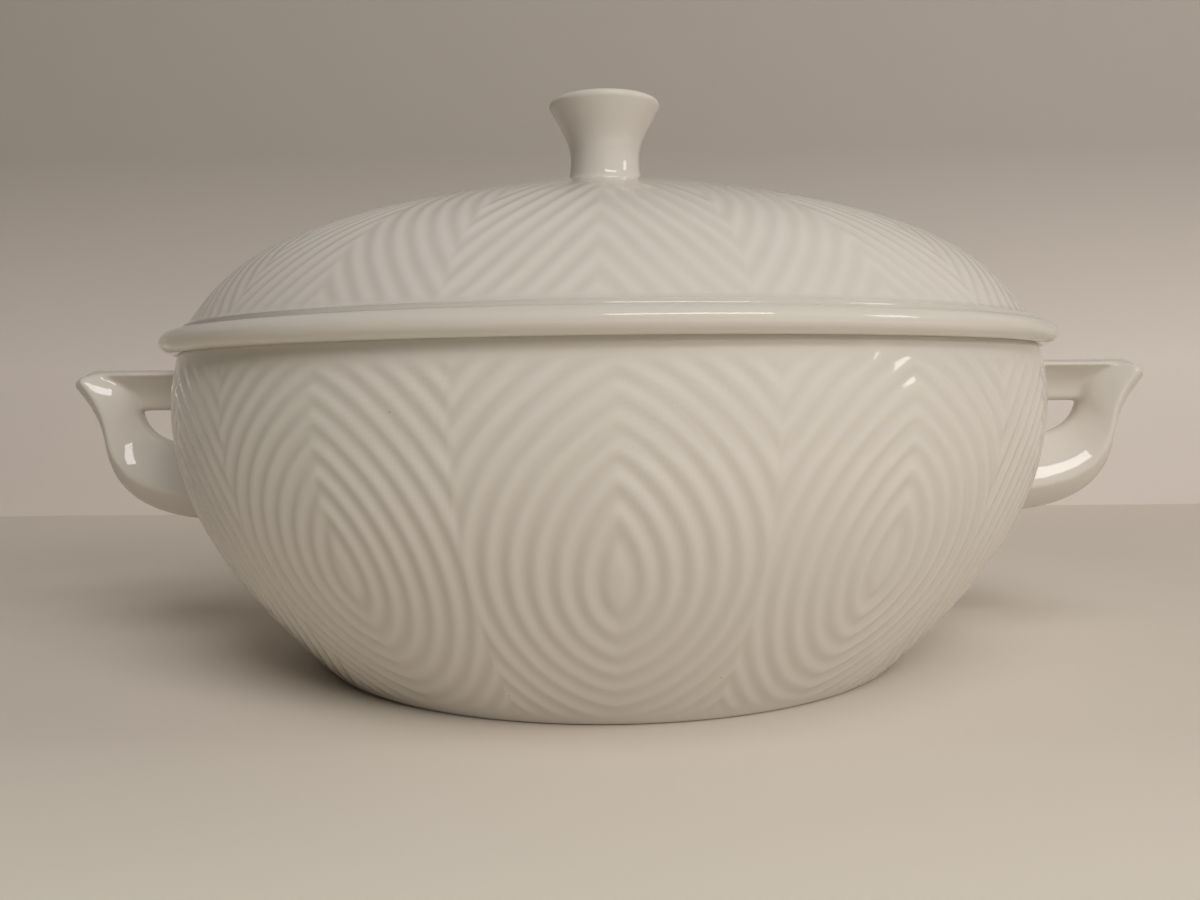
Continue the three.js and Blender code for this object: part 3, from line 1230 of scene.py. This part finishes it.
@dataclass
class Knob:
    """Flared knob, luted to the middle of the lid."""

    lid: Lid
    lute_gap: float = 0.3 * MM
    height: float = 23.7 * MM
    foot_radius: float = 11.1 * MM
    neck_radius: float = 10.2 * MM
    neck_height: float = 6.9 * MM
    foot_pull: float = 2.3 * MM
    neck_pull: float = 5.3 * MM
    lip_radius: float = 16.4 * MM
    lip_angle: float = 62.0
    lip_pull: float = 7.3 * MM
    edge: float = 1.7 * MM
    fillet: float = 1.3 * MM
    sink: float = 0.6 * MM
    dish: float = 0.6 * MM
    columns: int = 128
    foot_steps: int = 12
    flare_steps: int = 26
    edge_steps: int = 8
    fillet_steps: int = 8
    fillet_end: int = 3  # step of the foot where the fillet runs out
    crown_steps: int = 14

    def profile(self) -> list[Station]:
        """Draws the whole section.

        Returns:
            Rings from the middle of the foot round to the middle of the top.
        """
        foot = Vector((self.foot_radius, 0.0))
        neck = Vector((self.neck_radius, self.neck_height))
        lip = Vector((self.lip_radius, self.height - self.edge))
        lower = bezier([foot, Vector((neck.x, self.foot_pull)), neck], self.foot_steps)
        flare = lip + polar(self.lip_pull, self.lip_angle + 180)
        upper = bezier([neck, neck + Vector((0.0, self.neck_pull)), flare, lip], self.flare_steps)
        edge = arc(lip - Vector((self.edge, 0.0)), (self.edge, self.edge), 0, 90, self.edge_steps)
        spread = Vector((self.foot_radius + self.fillet, -self.sink))
        fillet = bezier([spread, foot, lower[self.fillet_end]], self.fillet_steps)
        top = Vector((0.0, self.height - self.dish))
        level = edge[-1] - Vector((2 * self.edge, 0.0))
        crown = bezier([edge[-1], level, Vector((self.lip_radius / 2, top.y)), top], self.crown_steps)
        line = [Vector((0.0, -self.sink))] + fillet + lower[self.fillet_end + 1:]
        line += upper[1:] + edge[1:] + crown[1:]
        base = self.lid.base + self.lid.pad_height + self.lute_gap
        return plain([place + Vector((0.0, base)) for place in line])

    def build(self, finishes: Finishes) -> bpy.types.Object:
        """Turns and dresses the knob."""
        return finishes.dress(Turning(self.profile(), columns=self.columns).build(), "knob", "lid")


# Studio


@dataclass(frozen=True)
class Lamp:
    """One soft area lamp."""

    name: str
    place: Place
    size: Pair
    power: float
    aim: Place = (0.0, 0.0, 0.08)
    colour: tuple[float, float, float] = (1.0, 0.967, 0.945)
    reflected: bool = True

    def build(self) -> None:
        """Hangs the lamp and points it at its aim."""
        light = bpy.data.lights.new(self.name, "AREA")
        light.shape = "RECTANGLE"
        light.size, light.size_y = self.size
        light.energy = self.power
        light.color = self.colour
        lamp = bpy.data.objects.new(self.name, light)
        lamp.location = self.place
        ahead = Vector(self.aim) - Vector(self.place)
        lamp.rotation_euler = ahead.to_track_quat("-Z", "Y").to_euler()
        lamp.visible_glossy = self.reflected
        bpy.context.scene.collection.objects.link(lamp)


@dataclass
class Studio:
    """Pale table top and wall with painted light and shade gradients, soft lamps and the camera."""

    eye: Place = (0.0, -0.3140, 0.0760)
    lens: float = 31.2
    sensor: float = 36.0
    nearest: float = 0.01
    pitch: float = 0.0603  # tilt of the camera, in radians
    yaw: float = -0.0079
    roll: float = -0.0116
    wall_back: float = 0.327
    reach: float = 4.0
    # painted light: the floor is painted lighter towards the camera, where more light falls
    floor_back: Colour = (0.83, 0.765, 0.675, 1.0)
    floor_lit_front: Colour = (0.95, 0.89, 0.775, 1.0)
    floor_light_fade: Pair = (-0.09, -0.16)
    # painted light and shade: the wall is painted lighter low down and darker at the top
    wall_lit_low: Colour = (0.92, 0.845, 0.785, 1.0)
    wall_shaded_top_and_cloud: Colour = (0.53, 0.485, 0.437, 1.0)
    wall_shade_fade: Pair = (0.09, 0.22)
    cloud_scale: float = 5.0
    cloud_detail: float = 4.0
    cloud_span: Pair = (0.3, 0.7)
    cloud_shares: Pair = (0.0, 0.08)
    paint_roughness: float = 0.7
    sky: Colour = (1.0, 0.97, 0.95, 1.0)
    sky_strength: float = 0.025
    lamps: tuple[Lamp, ...] = (
        Lamp("key", (0.66, -1.02, 0.60), (0.6, 0.2), 3.2, reflected=False),
        Lamp("room", (0.15, -1.1, 1.7), (1.0, 1.0), 8.4, reflected=False),
        Lamp("tube", (0.36, -0.95, 0.93), (0.8, 0.22), 4.0, aim=(0.0, -0.12, 0.09)),
        Lamp("side", (1.28, -0.46, 0.7), (0.3, 0.3), 1.4),
    )

    def paint(self, name: str, colours: tuple[Colour, Colour], axis: Axis, fade: Pair) -> Sheet:
        """Matt paint whose colour changes softly from one to another as painted light and shade, and has
        faint clouds.

        Args:
            name: Name of the material.
            colours: Its colours before and after the change.
            axis: Axis that the change goes along.
            fade: Where the change starts and ends.

        Returns:
            The material's node tree.
        """
        sheet = Sheet(name)
        level = sheet.placed("SeparateXYZ")
        clouds = sheet.placed("TexNoise", Scale=self.cloud_scale, Detail=self.cloud_detail)
        # painted light and shade: the colour changes along the axis as the light would fall off
        light_and_shade_gradient = sheet.blend(sheet.ramp(level.outputs[axis.value], fade, (0.0, 1.0)), *colours)
        # faint clouds of random tone, mixed towards the wall's painted-shade top colour
        share = sheet.ramp(clouds.outputs["Fac"], self.cloud_span, self.cloud_shares)
        sheet.join(sheet.blend(share, light_and_shade_gradient, self.wall_shaded_top_and_cloud), sheet.shader.inputs["Base Color"])
        sheet.shader.inputs["Roughness"].default_value = self.paint_roughness
        return sheet

    def plane(self, name: str, place: Matrix) -> bpy.types.Object:
        """Square sheet of the stage.

        Args:
            name: Name of the sheet.
            place: Turn and shift from the level.

        Returns:
            The sheet.
        """
        mesh = bmesh.new()
        bmesh.ops.create_grid(mesh, x_segments=1, y_segments=1, size=self.reach)
        bmesh.ops.transform(mesh, matrix=place, verts=mesh.verts)
        sheet = piece_from(mesh, name)
        return sheet

    def build(self) -> None:
        """Lays the floor, stands the wall behind it, lights them and sets the camera."""
        floor = self.plane("floor", Matrix.Identity(4))
        paint = self.paint("floor_paint", (self.floor_back, self.floor_lit_front), Axis.DEPTH, self.floor_light_fade)
        floor.data.materials.append(paint.material)
        stand = Matrix.Translation((0, self.wall_back, self.reach)) @ Matrix.Rotation(math.pi / 2, 4, "X")
        wall = self.plane("wall", stand)
        paint = self.paint("wall_paint", (self.wall_lit_low, self.wall_shaded_top_and_cloud), Axis.HEIGHT, self.wall_shade_fade)
        self.show_one_side(paint)
        wall.data.materials.append(paint.material)
        self.light()
        self.point_camera()

    def show_one_side(self, sheet: Sheet) -> None:
        """Leaves the back of the wall open, so that the tureen can be seen from behind.

        Args:
            sheet: The wall's paint.
        """
        clear = sheet.add("BsdfTransparent")
        either = sheet.add("MixShader")
        sheet.join(sheet.add("NewGeometry").outputs["Backfacing"], either.inputs["Fac"])
        sheet.join(sheet.shader.outputs["BSDF"], either.inputs[1])
        sheet.join(clear.outputs["BSDF"], either.inputs[2])
        sheet.join(either.outputs["Shader"], sheet.output.inputs["Surface"])

    def light(self) -> None:
        """Sets the even light of the room and hangs the lamps."""
        scene = bpy.context.scene
        scene.view_settings.view_transform = "Standard"
        scene.world = bpy.data.worlds.new("room")
        scene.world.use_nodes = True
        sky = scene.world.node_tree.nodes["Background"]
        sky.inputs["Color"].default_value = self.sky
        sky.inputs["Strength"].default_value = self.sky_strength
        for lamp in self.lamps:
            lamp.build()

    def point_camera(self) -> None:
        """Stands the camera in front, a little above the belly and tilted down."""
        ahead = Vector((math.sin(self.yaw), math.cos(self.yaw), 0.0))
        right = Vector((ahead.y, -ahead.x, 0.0))
        forward = ahead * math.cos(self.pitch) - Vector((0, 0, math.sin(self.pitch)))
        up = right.cross(forward)
        level = math.cos(self.roll)
        tip = math.sin(self.roll)
        across = right * level + up * tip
        above = up * level - right * tip
        camera = bpy.data.cameras.new("camera")
        camera.lens = self.lens
        camera.sensor_width = self.sensor
        camera.clip_start = self.nearest
        eye = bpy.data.objects.new("camera", camera)
        turn = Matrix((across, above, -forward)).transposed().to_4x4()
        eye.matrix_world = Matrix.Translation(self.eye) @ turn
        bpy.context.scene.collection.objects.link(eye)
        bpy.context.scene.camera = eye


def main() -> None:
    """Builds the studio and the tureen's pieces in order."""
    logging.basicConfig(level=logging.INFO, format="%(name)s: %(message)s")
    Studio().build()
    finishes = Finishes(Glaze().material(), Biscuit().material())
    bowl = Bowl()
    bowl.build(finishes)
    for side in Side:
        Handle(side, bowl).build(finishes)
    lid = Lid(bowl)
    lid.build(finishes)
    Knob(lid).build(finishes)


if __name__ == "__main__":
    main()
